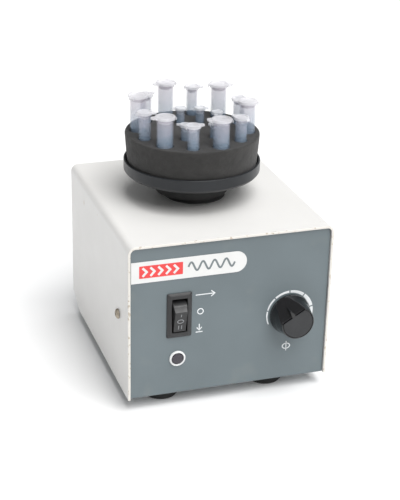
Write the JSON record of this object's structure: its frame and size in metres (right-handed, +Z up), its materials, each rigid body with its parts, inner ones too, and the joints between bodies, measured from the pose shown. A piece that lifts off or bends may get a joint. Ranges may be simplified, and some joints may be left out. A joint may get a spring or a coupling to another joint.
{
  "type": "vortex mixer",
  "caption": "Bench vortex mixer: sheet-metal case with a speed knob, rocker switch and lamp, and a round tray on top that orbits and holds a foam rack of micro tubes.",
  "frame": {"origin": "middle of the whole bounding box in X and Y, on the bench under the feet", "axes": "+X to the right seen from the front, +Y to the rear, +Z up; the control panel faces -Y"},
  "size_m": [0.1422, 0.1746, 0.1863],
  "materials": {
    "white_paint": "white powder coat, fine texture, satin",
    "grey_paint": "blue-grey paint, satin",
    "screw_steel": "dull zinc plate",
    "foot_rubber": "matte black",
    "white_print": "printed label film",
    "switch_plastic": "black nylon, satin",
    "lamp_ring": "white nylon",
    "lamp_lens": "dark translucent lens, unlit",
    "aluminium": "machined",
    "knob_gloss": "black, glossy",
    "knob_grey": "dark grey, matte",
    "board_green": "solder mask",
    "plate_steel": "plain steel",
    "motor_steel": "dark lacquer on steel laminations",
    "skirt_rubber": "matte black moulding",
    "tray_plastic": "dark grey, semi-gloss",
    "foam": "closed-cell foam, dark brown-black",
    "tube_plastic": "natural polypropylene, milky translucent"
  },
  "bodies": {
    "case": {"top_cover": "white_paint", "chassis": "grey_paint", "cover_screw_left": "screw_steel", "cover_screw_right": "screw_steel", "foot_front_left": "foot_rubber", "foot_front_right": "foot_rubber", "foot_rear_left": "foot_rubber", "foot_rear_right": "foot_rubber", "name_plate": "white_print", "switch_body": "switch_plastic", "lamp_bezel": "lamp_ring", "lamp_lens": "lamp_lens", "speed_pot": "aluminium", "pot_nut": "screw_steel", "speed_board": "board_green", "inlet_socket": "switch_plastic", "fuse_holder": "switch_plastic", "touch_switch": "switch_plastic", "guide_post_1": "plate_steel", "guide_post_2": "plate_steel", "guide_post_3": "plate_steel", "mount_spring_1": "plate_steel", "mount_spring_2": "plate_steel", "mount_spring_3": "plate_steel", "rubber_boot": "foot_rubber"},
    "speed_knob": {"knob": "knob_gloss", "knob_cap": "knob_grey", "pot_shaft": "aluminium"},
    "rocker": {"switch_rocker": "switch_plastic"},
    "fuse_cap": {"fuse_cap": "switch_plastic"},
    "touch_button": {"touch_switch_button": "lamp_ring"},
    "motor_carriage": {"motor_plate": "plate_steel", "motor_housing": "motor_steel", "motor_end_cap": "aluminium"},
    "rotor": {"motor_rotor": "plate_steel", "crank": "plate_steel"},
    "head": {"head_bearing": "plate_steel", "head_hub": "aluminium", "head_skirt": "skirt_rubber", "tray": "tray_plastic", "tray_screw": "screw_steel"},
    "rack": {"foam_rack": "foam"},
    "large_tube_1": {"large_tube_1": "tube_plastic"},
    "large_tube_2": {"large_tube_2": "tube_plastic"},
    "large_tube_3": {"large_tube_3": "tube_plastic"},
    "large_tube_4": {"large_tube_4": "tube_plastic"},
    "large_tube_5": {"large_tube_5": "tube_plastic"},
    "large_tube_6": {"large_tube_6": "tube_plastic"},
    "medium_tube_1": {"medium_tube_1": "tube_plastic"},
    "medium_tube_2": {"medium_tube_2": "tube_plastic"},
    "medium_tube_3": {"medium_tube_3": "tube_plastic"},
    "medium_tube_4": {"medium_tube_4": "tube_plastic"},
    "medium_tube_5": {"medium_tube_5": "tube_plastic"},
    "medium_tube_6": {"medium_tube_6": "tube_plastic"},
    "small_tube_1": {"small_tube_1": "tube_plastic"},
    "small_tube_2": {"small_tube_2": "tube_plastic"},
    "small_tube_3": {"small_tube_3": "tube_plastic"},
    "small_tube_4": {"small_tube_4": "tube_plastic"},
    "small_tube_5": {"small_tube_5": "tube_plastic"}
  },
  "joints": [
    {"name": "knob_turn", "type": "hinge", "parent": "case", "child": "speed_knob", "pos_m": [0.0411, -0.0715, 0.057], "axis": [0, 1, 0], "range_deg": [-84, 138]},
    {"name": "rocker_tilt", "type": "hinge", "parent": "case", "child": "rocker", "pos_m": [-0.035, -0.0615, 0.0662], "axis": [1, 0, 0], "range_deg": [-28, 0]},
    {"name": "fuse_cap_turn", "type": "hinge", "parent": "case", "child": "fuse_cap", "pos_m": [-0.002, 0.0805, 0.034], "axis": [0, 1, 0], "range_deg": [0, 60]},
    {"name": "head_press", "type": "slide", "parent": "case", "child": "motor_carriage", "axis": [0, 0, 1], "range_m": [-0.0025, 0], "stiffness_N_per_m": 4000, "springref_m": 0.006, "deforming": ["mount_spring_1", "mount_spring_2", "mount_spring_3", "rubber_boot"]},
    {"name": "touch_button_press", "type": "slide", "parent": "case", "child": "touch_button", "axis": [0, 0, 1], "range_m": [-0.0025, 0]},
    {"name": "motor_spin", "type": "hinge", "parent": "motor_carriage", "child": "rotor", "pos_m": [-0.001, 0.0051, 0.076], "axis": [0, 0, 1], "continuous": true},
    {"name": "head_orbit", "type": "hinge", "parent": "rotor", "child": "head", "pos_m": [-0.00284, 0.00639, 0.09], "axis": [0, 0, 1], "continuous": true},
    {"name": "rack_lift", "type": "slide", "parent": "head", "child": "rack", "axis": [0, 0, 1], "range_m": [0, 0.05]},
    {"name": "large_tube_1_lift", "type": "slide", "parent": "rack", "child": "large_tube_1", "axis": [0, 0, 1], "range_m": [0, 0.045]},
    {"name": "large_tube_2_lift", "type": "slide", "parent": "rack", "child": "large_tube_2", "axis": [0, 0, 1], "range_m": [0, 0.045]},
    {"name": "large_tube_3_lift", "type": "slide", "parent": "rack", "child": "large_tube_3", "axis": [0, 0, 1], "range_m": [0, 0.045]},
    {"name": "large_tube_4_lift", "type": "slide", "parent": "rack", "child": "large_tube_4", "axis": [0, 0, 1], "range_m": [0, 0.045]},
    {"name": "large_tube_5_lift", "type": "slide", "parent": "rack", "child": "large_tube_5", "axis": [0, 0, 1], "range_m": [0, 0.045]},
    {"name": "large_tube_6_lift", "type": "slide", "parent": "rack", "child": "large_tube_6", "axis": [0, 0, 1], "range_m": [0, 0.045]},
    {"name": "medium_tube_1_lift", "type": "slide", "parent": "rack", "child": "medium_tube_1", "axis": [0, 0, 1], "range_m": [0, 0.038]},
    {"name": "medium_tube_2_lift", "type": "slide", "parent": "rack", "child": "medium_tube_2", "axis": [0, 0, 1], "range_m": [0, 0.038]},
    {"name": "medium_tube_3_lift", "type": "slide", "parent": "rack", "child": "medium_tube_3", "axis": [0, 0, 1], "range_m": [0, 0.038]},
    {"name": "medium_tube_4_lift", "type": "slide", "parent": "rack", "child": "medium_tube_4", "axis": [0, 0, 1], "range_m": [0, 0.038]},
    {"name": "medium_tube_5_lift", "type": "slide", "parent": "rack", "child": "medium_tube_5", "axis": [0, 0, 1], "range_m": [0, 0.038]},
    {"name": "medium_tube_6_lift", "type": "slide", "parent": "rack", "child": "medium_tube_6", "axis": [0, 0, 1], "range_m": [0, 0.038]},
    {"name": "small_tube_1_lift", "type": "slide", "parent": "rack", "child": "small_tube_1", "axis": [0, 0, 1], "range_m": [0, 0.03]},
    {"name": "small_tube_2_lift", "type": "slide", "parent": "rack", "child": "small_tube_2", "axis": [0, 0, 1], "range_m": [0, 0.03]},
    {"name": "small_tube_3_lift", "type": "slide", "parent": "rack", "child": "small_tube_3", "axis": [0, 0, 1], "range_m": [0, 0.03]},
    {"name": "small_tube_4_lift", "type": "slide", "parent": "rack", "child": "small_tube_4", "axis": [0, 0, 1], "range_m": [0, 0.03]},
    {"name": "small_tube_5_lift", "type": "slide", "parent": "rack", "child": "small_tube_5", "axis": [0, 0, 1], "range_m": [0, 0.03]}
  ],
  "couplings": [
    {"joint": "touch_button_press", "follows": "head_press", "ratio": 1},
    {"joint": "head_orbit", "follows": "motor_spin", "ratio": -1}
  ]
}
